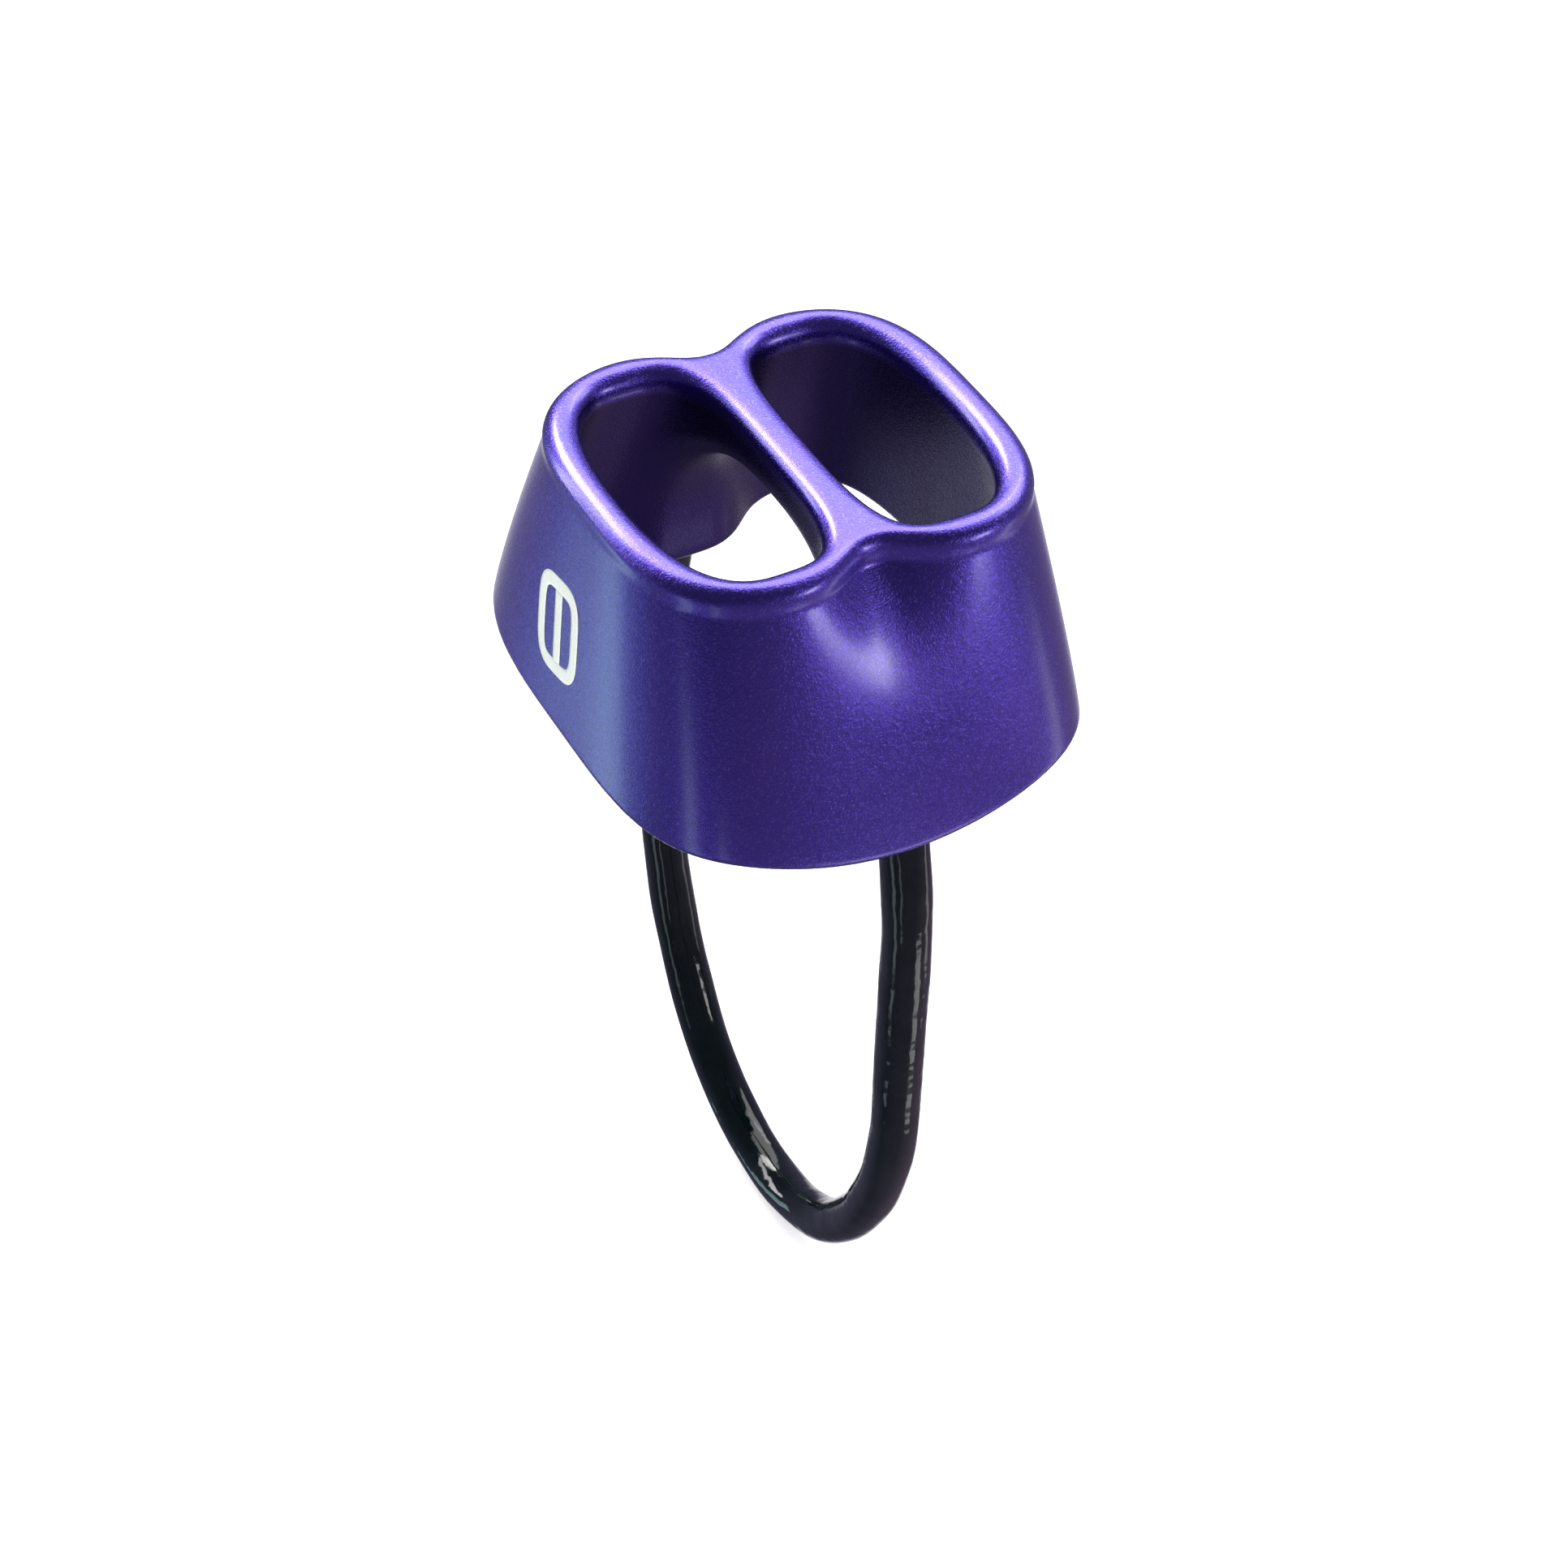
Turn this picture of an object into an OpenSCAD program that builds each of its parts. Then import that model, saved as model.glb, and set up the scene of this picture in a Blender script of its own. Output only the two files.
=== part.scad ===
// Tubular belay device: a forged tube with two rope slots and a coated cable keeper loop.
// Millimetres, +Z up. The origin is the middle of the open mouth, on the lowest points of its rim.
// X runs across the two slots, Y along the divider bar, and the keeper loop hangs in the YZ plane.

/* [Housing] */
// Half-width of the mouth across the slots (X), on the outside
mouth_half_x = 22.5; // [21:0.1:24]
// Half-width of the mouth along the divider (Y), on the outside
mouth_half_y = 25.7; // [24.6:0.1:27]
// Squareness of the mouth's outline (2 is an ellipse)
mouth_square = 3.7; // [2.5:0.1:5]
// Half-width of the crown across the slots (X)
crown_half_x = 19.3; // [18:0.1:20.5]
// Half-width of the crown along the divider (Y)
crown_half_y = 18.7; // [18:0.1:20]
// Squareness of the crown's outline
crown_square = 3.2; // [2.5:0.1:4]
// Height of the shoulder, where the crown's rounded rim starts
shoulder_z = 24.6; // [23.5:0.1:25.5]
// Height of the rounded rim above the shoulder
rim_rise = 2.4; // [1.8:0.1:3]
// Depth of the pinch at the front and rear of the crown, as a share of its half-width
pinch_depth = 0.18; // [0:0.01:0.2]
// Width of the pinch
pinch_width = 4.5; // [3:0.1:7]
// Height of the mouth's rim at its highest, where it arches up on the way to the end walls
rim_arch = 2.8; // [0:0.1:3.5]
// Wall thickness at the mouth
wall = 3.1; // [2.6:0.1:3.4]

/* [Rope slots and divider] */
// Width of the divider bar between the two slots
divider_w = 3.7; // [3:0.1:5]
// Width of each rope slot (X)
slot_w = 14.2; // [12:0.1:14.4]
// Length of each rope slot (Y)
slot_len = 29.2; // [26:0.2:29.6]
// Height of the divider bar's underside, at its middle
divider_under_z = 20.6; // [17:0.1:22]
// Half-length of the arch below the divider, at the mouth
arch_half = 18.5; // [17:0.1:19]

/* [Keeper loop] */
// Diameter of the cable's plastic jacket
jacket_d = 4.8; // [4:0.1:5]
// Diameter of the steel cable core
core_d = 3.0; // [2.4:0.1:3.2]
// Lean of the cable's sockets, top inwards
exit_tilt = 12; // [10:1:13]
// Depth of the wide bore that takes the jacket's end
jacket_socket = 4.0; // [3:0.5:5]
// Length of the ferrule pressed on the cable's end
ferrule_len = 6.5; // [5:0.5:7]
// Diameter of the ferrule
ferrule_d = 4.0; // [3.8:0.1:4.2]
// Half the loop's width, on the cable's centre line
loop_half = 24.4; // [24:0.1:24.6]
// Bend radius of the cable just below its exits
upper_r = 50; // [48:1:52]
// Depth below the mouth at which each straight leg starts
leg_top = 13.6; // [13.4:0.1:14]
// Length of each straight leg
leg_len = 21.4; // [15:0.2:30]
// Bend radius at the loop's flanks
flank_r = 41.4; // [38:0.4:44]
// Turn of the cable through each flank bend, in degrees
flank_turn = 39; // [30:1:44]

/* [Hidden] */
anodised = "#4a35a0";
steel = "#b9bcc0";
black = "#15171b";
// Radial gaps: a pressed seat, the steel core in its jacket, and the jacket's end in its socket
seat_gap = 0.01;
core_gap = 0.02;
socket_gap = 0.05;
// Gap between the fixed jacket end and the loop's round end
swing_gap = 0.10;
// Sides of the loop's jacket and core, which are swept along its route
tube_n = 20;
// Points round the housing's skin and round each slot
skin_points = 80;
slot_points = 48;
// The bottom edge's rounding: inset of the lowest ring, and the height over which it fades
lip_inset = 0.7;
lip_rise = 0.9;
// Inset of the crown's outer rounding at its top
crown_inset = 1.9;
// Each slot's rounded top edge: its height, its outward flare, and its start below the crown
slot_edge_rise = 2.15;
slot_edge_flare = 1.5;
slot_edge_drop = 2.1;
// Flare of each slot at the mouth
mouth_flare = 0.4;
// Half the web between the two slots at the mouth, before the arch cuts it
web_half = 3.4;
// How much farther the slots' ends are from the outer skin than their sides, at the mouth
end_extra = 0.2;
// Height share at which the pinch starts, and how it deepens towards the crown
pinch_start = 0.42;
pinch_power = 2.6;
// Powers by which the outer half-widths shrink with the height share
taper_x = 1.1;
taper_y = 1.25;
// Squareness of a slot's outer and divider sides, at the mouth and at the crown
outer_square = [3.3, 2.5];
inner_square = [2.6, 3.6];
// Shape of the rim's arch across the mouth
arch_gain = [3.22, 2.54];
// Turn that bunches an outline's points towards its corners, in degrees
corner_bunch = 9;
// Width of the arch below the divider, its squareness, and its widening at the mouth's edge
arch_width = 13;
arch_square = 2.5;
arch_flare = 0.6;
// Room above the core's end in its bore, and above the ferrule and the jacket
core_room = 1.2;
ferrule_room = 0.1;
jacket_room = 0.05;
round_fn = 64;

jacket_r = jacket_d / 2;
core_r = core_d / 2;
ferrule_r = ferrule_d / 2;
crown_z = shoulder_z + rim_rise;
socket_end = jacket_socket + ferrule_len;

// The loop's route lies in the YZ plane: u along Y, v up. It starts at its two swing points.
pivot_u = loop_half - upper_r * (1 - cos(exit_tilt));
pivot_v = upper_r * sin(exit_tilt) - leg_top;
leg_low = -leg_top - leg_len;
flank_mid_u = loop_half - flank_r;
bottom_r = flank_r + flank_mid_u / cos(flank_turn);
bottom_mid_v = leg_low + flank_mid_u * tan(flank_turn);
bore_r = core_r + core_gap;
// Each socket's axis passes through a swing point and leaves the mouth at exit_y
exit_y = pivot_u + pivot_v * tan(exit_tilt);
pivot_drop = -pivot_v / cos(exit_tilt);
root_end = pivot_drop - jacket_r - swing_gap;

function mix(a, b, t) = a + (b - a) * t;
function clamp01(t) = max(0, min(1, t));
function signed_pow(v, p) = sign(v) * pow(abs(v), p);
// A point of a superellipse with half-widths a and b, squareness n, at angle s
function oval(a, b, n, s) = [a * signed_pow(cos(s), 2 / n), b * signed_pow(sin(s), 2 / n)];

// Angle of point i of n, bunched towards the corners of a squarish outline
function corner_angle(i, n) =
    let (s = 360 * i / n)
    s - corner_bunch * sin(4 * s);

// Height of the mouth's rim at x: lowest in the middle, arched up, a little lower at the ends
function rim_z(x) =
    let (u = pow(min(abs(x) / mouth_half_x, 1), 2))
    rim_arch * (arch_gain[0] * u - arch_gain[1] * u * u);

// Share of the pinch at height share t: none in the lower half, full at the shoulder
function pinch_at(t) =
    pinch_depth * pow(clamp01((t - pinch_start) / (1 - pinch_start)), pinch_power);

// Outer skin at height share t (0 at the mouth's rim, 1 at the shoulder), moved in by inset
function skin_point(s, t, inset) =
    let (a = mix(mouth_half_x, crown_half_x, pow(t, taper_x)) - inset,
         b = mix(mouth_half_y, crown_half_y, pow(t, taper_y)) - inset,
         p = oval(a, b, mix(mouth_square, crown_square, t), s),
         pinch = 1 - pinch_at(t) * exp(-pow(p[0] / pinch_width, 2)))
    [p[0], p[1] * pinch];

function skin_ring(z_share, rise, inset) = [
    for (i = [0 : skin_points - 1])
        let (s = corner_angle(i, skin_points),
             p = skin_point(s, z_share, inset),
             q = skin_point(s, 0, 0))
        [p[0], p[1], mix(rim_z(q[0]), shoulder_z, z_share) + rise]
];

// Rings of the solid outer form, from the mouth's rim to the top of the crown
wall_shares = [0.12, 0.24, 0.36, 0.48, 0.58, 0.68, 0.76, 0.84, 0.92, 1];
skin_rings = concat(
    [skin_ring(0, 0, lip_inset), skin_ring(0, lip_rise, 0)],
    [for (t = wall_shares) skin_ring(t, 0, 0)],
    [for (k = [1 : 4]) let (c = 22.5 * k)
        skin_ring(1, rim_rise * sin(c), crown_inset * (1 - cos(c)))]
);

// A closed solid through a stack of rings that all have the same number of points
module stacked(rings) {
    n = len(rings[0]);
    last = len(rings) - 1;
    points = [for (r = rings) for (p = r) p];
    sides = [for (k = [0 : last - 1]) for (i = [0 : n - 1])
        let (a = k * n + i, b = k * n + (i + 1) % n)
        each [[a, a + n, b], [b, a + n, b + n]]];
    floor_mid = len(points);
    floor_z = min([for (p = rings[0]) p[2]]);
    roof_z = rings[last][0][2];
    caps = [for (i = [0 : n - 1])
        let (j = (i + 1) % n)
        each [[floor_mid, i, j], [floor_mid + 1, last * n + j, last * n + i]]];
    middle_x = (min([for (p = rings[0]) p[0]]) + max([for (p = rings[0]) p[0]])) / 2;
    polyhedron(points = concat(points, [[middle_x, 0, floor_z], [middle_x, 0, roof_z]]),
               faces = concat(sides, caps), convexity = 6);
}

// Height share at which the web between the slots is as thin as the divider
web_top = 0.6;
// Power by which the slots' half-length shrinks with the height share
slot_taper = 1.15;
// Shares of a slot's flare that its divider side and its ends take
divider_flare = 0.5;
end_flare = 0.9;

// Outline of one half of the inside at height share t: straighter on the divider's side
slot_shares = [0, 0.14, 0.28, 0.42, 0.56, 0.7, 0.85, 1];
function slot_half(t, flare, s) =
    let (outer = mix(mouth_half_x - wall, divider_w / 2 + slot_w, t) + flare,
         inner = mix(web_half, divider_w / 2, clamp01(t / web_top)) - divider_flare * flare,
         half_y = mix(mouth_half_y - wall - end_extra, slot_len / 2, pow(t, slot_taper))
                  + end_flare * flare,
         mid = mix(inner, outer, 0.5),
         square = cos(s) > 0 ? outer_square : inner_square,
         n = mix(square[0], square[1], t),
         p = oval((outer - inner) / 2, half_y, n, s))
    [mid + p[0], p[1]];
function slot_ring(t, z, flare) = [
    for (i = [0 : slot_points - 1])
        let (p = slot_half(t, flare, corner_angle(i, slot_points)))
        [p[0], p[1], z]
];
slot_top_z = crown_z - slot_edge_drop;
slot_rings = concat(
    [slot_ring(0, -1, mouth_flare)],
    [for (t = slot_shares) slot_ring(t, mix(0, slot_top_z, t), t == 0 ? mouth_flare : 0)],
    [for (k = [1 : 4]) let (c = 22.5 * k)
        slot_ring(1, slot_top_z + slot_edge_rise * sin(c), slot_edge_flare * (1 - cos(c)))]
);

// Arch below the divider, which joins the two slots into one cavity
module arch_cutter() {
    outline = [for (s = [0 : 7.5 : 180]) oval(arch_half, divider_under_z, arch_square, s)];
    foot = arch_half + arch_flare;
    rotate([90, 0, 90])
        linear_extrude(height = arch_width, center = true)
            polygon(concat([[foot + arch_flare, -2], [foot, arch_flare]],
                           [for (p = outline) if (p[1] > 2 * arch_flare) p],
                           [[-foot, arch_flare], [-foot - arch_flare, -2]]));
}

// Puts its children in the frame of one cable exit: the origin on the rim, +Z up the socket
module at_exit(side) {
    translate([0, side * exit_y, 0])
        rotate([side * exit_tilt, 0, 0])
            children();
}

module housing() {
    color(anodised)
        difference() {
            stacked(skin_rings);
            stacked(slot_rings);
            mirror([1, 0, 0]) stacked(slot_rings);
            arch_cutter();
            for (side = [-1, 1])
                at_exit(side) {
                    translate([0, 0, -3])
                        cylinder(h = jacket_socket + 3, r = jacket_r + socket_gap,
                                 $fn = round_fn);
                    cylinder(h = socket_end, r = ferrule_r + seat_gap, $fn = round_fn);
                }
        }
}

// Ferrule crimped on the bare cable end and pressed into the narrow bore
module ferrule(side) {
    color(steel)
        at_exit(side)
            translate([0, 0, jacket_socket])
                difference() {
                    cylinder(h = ferrule_len - ferrule_room, r = ferrule_r, $fn = round_fn);
                    translate([0, 0, -1])
                        cylinder(h = ferrule_len, r = core_r + seat_gap, $fn = round_fn);
                }
}

// Fixed end of the steel core, from the ferrule down to the swing point
module core_root(side) {
    color(steel)
        at_exit(side)
            translate([0, 0, -root_end])
                cylinder(h = root_end + socket_end - core_room, r = core_r, $fn = round_fn);
}

// Fixed end of the jacket, seated in the wide bore
module jacket_root(side) {
    color(black)
        at_exit(side)
            translate([0, 0, -root_end])
                difference() {
                    cylinder(h = root_end + jacket_socket - jacket_room, r = jacket_r,
                             $fn = round_fn);
                    translate([0, 0, -1])
                        cylinder(h = root_end + jacket_socket + 2, r = bore_r, $fn = round_fn);
                }
}

// Stations of the right half of the loop's route: [u, v, angle of the outward normal]
function on_bend(mid_u, mid_v, r, b) = [mid_u + r * cos(b), mid_v + r * sin(b), b];
half_route = concat(
    [for (k = [0 : 4]) on_bend(loop_half - upper_r, -leg_top, upper_r, exit_tilt * (1 - k / 4))],
    [for (k = [1 : 3]) [loop_half, -leg_top - leg_len * k / 4, 0]],
    [for (k = [0 : 8]) on_bend(flank_mid_u, leg_low, flank_r, -flank_turn * k / 8)],
    [for (k = [1 : 9]) on_bend(0, bottom_mid_v, bottom_r,
                               -flank_turn - (90 - flank_turn) * k / 9)]
);
function reversed(list) = [for (k = [len(list) - 1 : -1 : 0]) list[k]];
loop_route = concat(half_route,
                    [for (p = reversed(half_route)) if (p[2] > -89.9) [-p[0], p[1], -180 - p[2]]]);

// A ring of the tube at a station, moved along the route by shift, with radius r
function tube_ring(p, shift, r) = [
    for (k = [0 : tube_n - 1])
        let (c = r * cos(360 * k / tube_n))
        [r * sin(360 * k / tube_n),
         p[0] + shift * sin(p[2]) + c * cos(p[2]),
         p[1] - shift * cos(p[2]) + c * sin(p[2])]
];

// Faces between the rings of a tube, first to last; flip turns them inside out
function tube_sides(rings, first, flip) = [
    for (k = [0 : rings - 2]) for (i = [0 : tube_n - 1])
        let (a = first + k * tube_n + i,
             b = first + k * tube_n + (i + 1) % tube_n)
        each flip ? [[a, a + tube_n, b], [b, a + tube_n, b + tube_n]]
                  : [[a, b, a + tube_n], [b, b + tube_n, a + tube_n]]
];

module loop_core() {
    n = len(loop_route);
    points = [for (p = loop_route) each tube_ring(p, 0, core_r)];
    color(steel)
        polyhedron(points = points, convexity = 6,
                   faces = concat(tube_sides(n, 0, false),
                                  [[for (i = [tube_n - 1 : -1 : 0]) i]],
                                  [[for (i = [0 : tube_n - 1]) (n - 1) * tube_n + i]]));
}

// The jacket is open at both ends, where it is rounded about the swing point
module loop_jacket() {
    first = loop_route[0];
    last = loop_route[len(loop_route) - 1];
    caps = [for (k = [1 : 4]) 12.5 * k];
    reach = jacket_r * sin(caps[3]);
    outer = concat(
        [for (c = reversed(caps)) tube_ring(first, -jacket_r * sin(c), jacket_r * cos(c))],
        [for (p = loop_route) tube_ring(p, 0, jacket_r)],
        [for (c = caps) tube_ring(last, jacket_r * sin(c), jacket_r * cos(c))]);
    inner = concat(
        [tube_ring(first, -reach, bore_r)],
        [for (p = loop_route) tube_ring(p, 0, bore_r)],
        [tube_ring(last, reach, bore_r)]);
    base = len(outer) * tube_n;
    end_out = base - tube_n;
    end_in = base + (len(inner) - 1) * tube_n;
    rims = [for (i = [0 : tube_n - 1])
        let (j = (i + 1) % tube_n)
        each [[i, base + i, j], [j, base + i, base + j],
              [end_out + i, end_out + j, end_in + i], [end_out + j, end_in + j, end_in + i]]];
    color(black)
        polyhedron(points = [for (r = concat(outer, inner)) each r], convexity = 8,
                   faces = concat(tube_sides(len(outer), 0, false),
                                  tube_sides(len(inner), base, true), rims));
}

housing();
ferrule(-1);  // front_ferrule
ferrule(1);  // rear_ferrule
core_root(-1);  // front_core_root
core_root(1);  // rear_core_root
jacket_root(-1);  // front_jacket_root
jacket_root(1);  // rear_jacket_root
loop_core();
loop_jacket();
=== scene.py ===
"""Looks of the belay device: forged, anodised housing, jacketed cable loop and a plain studio."""

import math

import bpy
import numpy as np
from mathutils import Matrix, Vector


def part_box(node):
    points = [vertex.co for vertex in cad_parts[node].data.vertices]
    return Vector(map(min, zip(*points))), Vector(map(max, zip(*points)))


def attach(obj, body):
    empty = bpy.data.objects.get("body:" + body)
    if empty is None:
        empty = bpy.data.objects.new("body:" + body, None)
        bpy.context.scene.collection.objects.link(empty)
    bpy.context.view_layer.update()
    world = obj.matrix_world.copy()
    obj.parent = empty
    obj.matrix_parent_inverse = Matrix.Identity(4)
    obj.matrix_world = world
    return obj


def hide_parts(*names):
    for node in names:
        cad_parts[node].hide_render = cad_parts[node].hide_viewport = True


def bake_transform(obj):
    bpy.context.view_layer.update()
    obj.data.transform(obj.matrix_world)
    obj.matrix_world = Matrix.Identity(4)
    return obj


# The frame is in metres; the shapes below are worked out in millimetres
MM = 0.001

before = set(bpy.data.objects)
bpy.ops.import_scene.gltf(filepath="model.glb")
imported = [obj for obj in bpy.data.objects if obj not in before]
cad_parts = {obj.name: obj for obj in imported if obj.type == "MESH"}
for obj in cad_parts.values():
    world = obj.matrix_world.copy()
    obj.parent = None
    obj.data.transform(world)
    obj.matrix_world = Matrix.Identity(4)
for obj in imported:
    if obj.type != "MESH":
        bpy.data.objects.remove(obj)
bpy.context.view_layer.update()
housing_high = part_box("housing")[1]
loop_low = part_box("loop_jacket")[0]

# ---------------------------------------------------------------- camera
# Fitted to the photograph's outlines
CAMERA_AZIMUTH = math.radians(-29.278)
CAMERA_ELEVATION = math.radians(42.971)
CAMERA_ROLL = math.radians(-1.619)
CAMERA_DISTANCE = 305.222 * MM
CAMERA_SLIDE = (-0.296 * MM, 9.741 * MM)
CAMERA_LENS = 76.494
CAMERA_SENSOR = 36
CAMERA_NEAR, CAMERA_FAR = 0.02, 50


def make_camera():
    """The photograph's view: looking down at the front left of the housing."""
    a, e, roll = CAMERA_AZIMUTH, CAMERA_ELEVATION, CAMERA_ROLL
    back = Vector((math.sin(a) * math.cos(e), -math.cos(a) * math.cos(e), math.sin(e)))
    right = Vector((math.cos(a), math.sin(a), 0))
    up = back.cross(right)
    cam_right = right * math.cos(roll) - up * math.sin(roll)
    cam_up = right * math.sin(roll) + up * math.cos(roll)
    place = back * CAMERA_DISTANCE - cam_right * CAMERA_SLIDE[0] - cam_up * CAMERA_SLIDE[1]
    data = bpy.data.cameras.new("camera")
    data.lens = CAMERA_LENS
    data.sensor_width = CAMERA_SENSOR
    data.clip_start = CAMERA_NEAR
    data.clip_end = CAMERA_FAR
    camera = bpy.data.objects.new("camera", data)
    turn = Matrix((cam_right, cam_up, back)).transposed()
    camera.matrix_world = Matrix.Translation(place) @ turn.to_4x4()
    bpy.context.scene.collection.objects.link(camera)
    bpy.context.scene.camera = camera


make_camera()

# ---------------------------------------------------------------- housing
# The field below works in millimetres and is negative inside the metal.
# Half-widths and heights of the mouth and the crown, and how square their outlines are
MOUTH_X = housing_high.x / MM
MOUTH_Y = housing_high.y / MM
CROWN_Z = housing_high.z / MM
SHOULDER_Z = CROWN_Z - 2.4
CROWN_X, CROWN_Y = 19.3, 18.7
MOUTH_SQUARE, CROWN_SQUARE = 3.7, 3.2
# Powers by which the half-widths shrink with height
TAPER_X, TAPER_Y = 1.1, 1.25
WALL = 3.1
# The mouth's rim: its height at the highest, and the shape of its arch
RIM_ARCH = 2.8
RIM_GAIN, RIM_LOSS = 3.22, 2.54
# The pinch: its depth and width, the share of the height where it starts and the rest above
# that, how it deepens upwards, how it fades sideways, and the roundness of its valley
PINCH_DEPTH, PINCH_WIDTH = 0.185, 4.4
PINCH_START, PINCH_REST = 0.42, 0.58
PINCH_GROWTH, PINCH_FADE, PINCH_SOFT = 2.6, 1.6, 0.5
# The slots: their size at the crown, how far below it they reach that size, and how they
# lengthen downwards. The wall is a little thicker at their ends, at the mouth
DIVIDER_HALF = 1.85
SLOT_W, SLOT_HALF_Y = 14.2, 14.6
SLOT_EDGE_DROP, SLOT_TAPER_Y = 2.1, 1.15
MOUTH_END_EXTRA = 0.2
# Half the web between the slots at the mouth, and the share of the height over which it
# narrows to the divider
WEB_HALF, WEB_FADE = 3.4, 0.6
# Squareness of a slot's outer and divider sides, each at the mouth and at the crown
OUTER_SQUARE, INNER_SQUARE = (3.3, 2.5), (2.6, 3.6)
# The arch below the divider: its half-length, top, squareness and half-width across, its flare
# at the mouth, and the height over which the flare fades
ARCH_HALF, ARCH_TOP, ARCH_SQUARE, ARCH_REACH = 18.5, 20.6, 2.5, 6.5
ARCH_FLARE, ARCH_FLARE_RISE = 0.6, 0.9
# Size of the fillets where the slots and the arch meet
CAVITY_BLEND = 3.0
# Edge radii. The lip's gives way to the crown's from LIP_TOP upwards, over LIP_FADE. The
# divider's gives way to the rim's from DIVIDER_EDGE outwards, over DIVIDER_FADE; the distance
# is from the divider's middle line, which ends at DIVIDER_END_Y
RIM_ROUND, DIVIDER_ROUND, LIP_ROUND = 1.62, 1.3, 1.0
LIP_TOP, LIP_FADE = 6, 12
DIVIDER_END_Y, DIVIDER_EDGE, DIVIDER_FADE = 11, 1.5, 3
# The bores that take the jacket's ends: lean, place, radius, depth and edge fillet
EXIT_TILT = math.radians(12)
EXIT_Y = 22.63
SOCKET_R, SOCKET_DEPTH, SOCKET_EDGE = 2.42, 4.0, 0.2
# Mesh: grid spacing, the step for slopes, the longest move of a point in one round, the
# smallest squared slope trusted, and how often the points are evened out and settled
GRID_STEP, SLOPE_STEP, LONGEST_MOVE = 0.35, 0.02, 0.3
SMALLEST_SLOPE = 0.05
RELAX_ROUNDS, RELAX_SHARE, LAST_ROUNDS = 3, 0.5, 2
# Wear: the step over which bending is measured, and the bend that counts as none
WEAR_STEP, WEAR_FROM = 0.5, 0.25
# Painted shade inside the cavity: the depth below the skin and below the crown where it starts, its
# fades, and what the depth loses at points just inside the cavity
INSIDE_DEPTH, INSIDE_FADE = 1.4, 0.9
INSIDE_DROP, INSIDE_DROP_FADE = 1.2, 1.6
INSIDE_LOSS = 0.5


def mix(a, b, t):
    return a + (b - a) * t


def smooth_min(a, b, k):
    """The smaller of two distances, with a fillet of about size k where they meet."""
    h = np.maximum(k - np.abs(a - b), 0) / k
    return np.minimum(a, b) - h * h * k / 4


def oval(x, y, a, b, n):
    """Distance from a superellipse with half-widths a and b, negative inside."""
    u, v = np.abs(x) / a + 1e-6, np.abs(y) / b + 1e-6
    g = (u**n + v**n) ** (1 / n)
    slope = np.hypot((u / g) ** (n - 1) / a, (v / g) ** (n - 1) / b)
    return (g - 1) / slope


def rim_z(x):
    """Height of the mouth's rim: lowest in the middle, arched up towards the end walls."""
    u = np.minimum(np.abs(x) / MOUTH_X, 1) ** 2
    return RIM_ARCH * (RIM_GAIN * u - RIM_LOSS * u * u)


def skin(x, y, z):
    """Outer skin, with the pinch at the front and rear of the crown."""
    t = np.clip(z / SHOULDER_Z, 0, 1)
    for _ in range(2):
        edge = rim_z(x * MOUTH_X / mix(MOUTH_X, CROWN_X, t**TAPER_X))
        t = np.clip((z - edge) / (SHOULDER_Z - edge), 0, 1)
    a = mix(MOUTH_X, CROWN_X, t**TAPER_X)
    b = mix(MOUTH_Y, CROWN_Y, t**TAPER_Y)
    depth = PINCH_DEPTH * np.clip((t - PINCH_START) / PINCH_REST, 0, 1) ** PINCH_GROWTH
    away = np.sqrt(x * x + PINCH_SOFT) - math.sqrt(PINCH_SOFT)
    dent = 1 - depth * np.exp(-((away / PINCH_WIDTH) ** PINCH_FADE))
    return oval(x, y / dent, a, b, mix(MOUTH_SQUARE, CROWN_SQUARE, t))


def slot(x, y, z):
    """One rope slot's cavity, open at the crown and widening to the mouth."""
    t = np.clip(z / (CROWN_Z - SLOT_EDGE_DROP), 0, 1)
    outer = mix(MOUTH_X - WALL, DIVIDER_HALF + SLOT_W, t)
    inner = mix(WEB_HALF, DIVIDER_HALF, np.clip(t / WEB_FADE, 0, 1))
    half_y = mix(MOUTH_Y - WALL - MOUTH_END_EXTRA, SLOT_HALF_Y, t**SLOT_TAPER_Y)
    away = x - (outer + inner) / 2
    n = np.where(away > 0, mix(*OUTER_SQUARE, t), mix(*INNER_SQUARE, t))
    return oval(away, y, (outer - inner) / 2, half_y, n)


def cavity(x, y, z):
    """All the hollow inside: both slots and the arch below the divider."""
    both = smooth_min(slot(np.abs(x), y, z), slot(-np.abs(x), y, z), CAVITY_BLEND)
    half = ARCH_HALF + ARCH_FLARE * np.exp(-np.maximum(z, 0) / ARCH_FLARE_RISE)
    arch = oval(y, np.maximum(z, 0), half, ARCH_TOP, ARCH_SQUARE)
    return smooth_min(both, np.maximum(arch, np.abs(x) - ARCH_REACH), CAVITY_BLEND)


def socket(x, y, z):
    """The bore that takes the cable's jacket, its top leaning inwards."""
    away = np.abs(y) - EXIT_Y
    along = -away * math.sin(EXIT_TILT) + z * math.cos(EXIT_TILT)
    across = away * math.cos(EXIT_TILT) + z * math.sin(EXIT_TILT)
    return np.maximum(np.hypot(x, across) - SOCKET_R, along - SOCKET_DEPTH)


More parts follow.
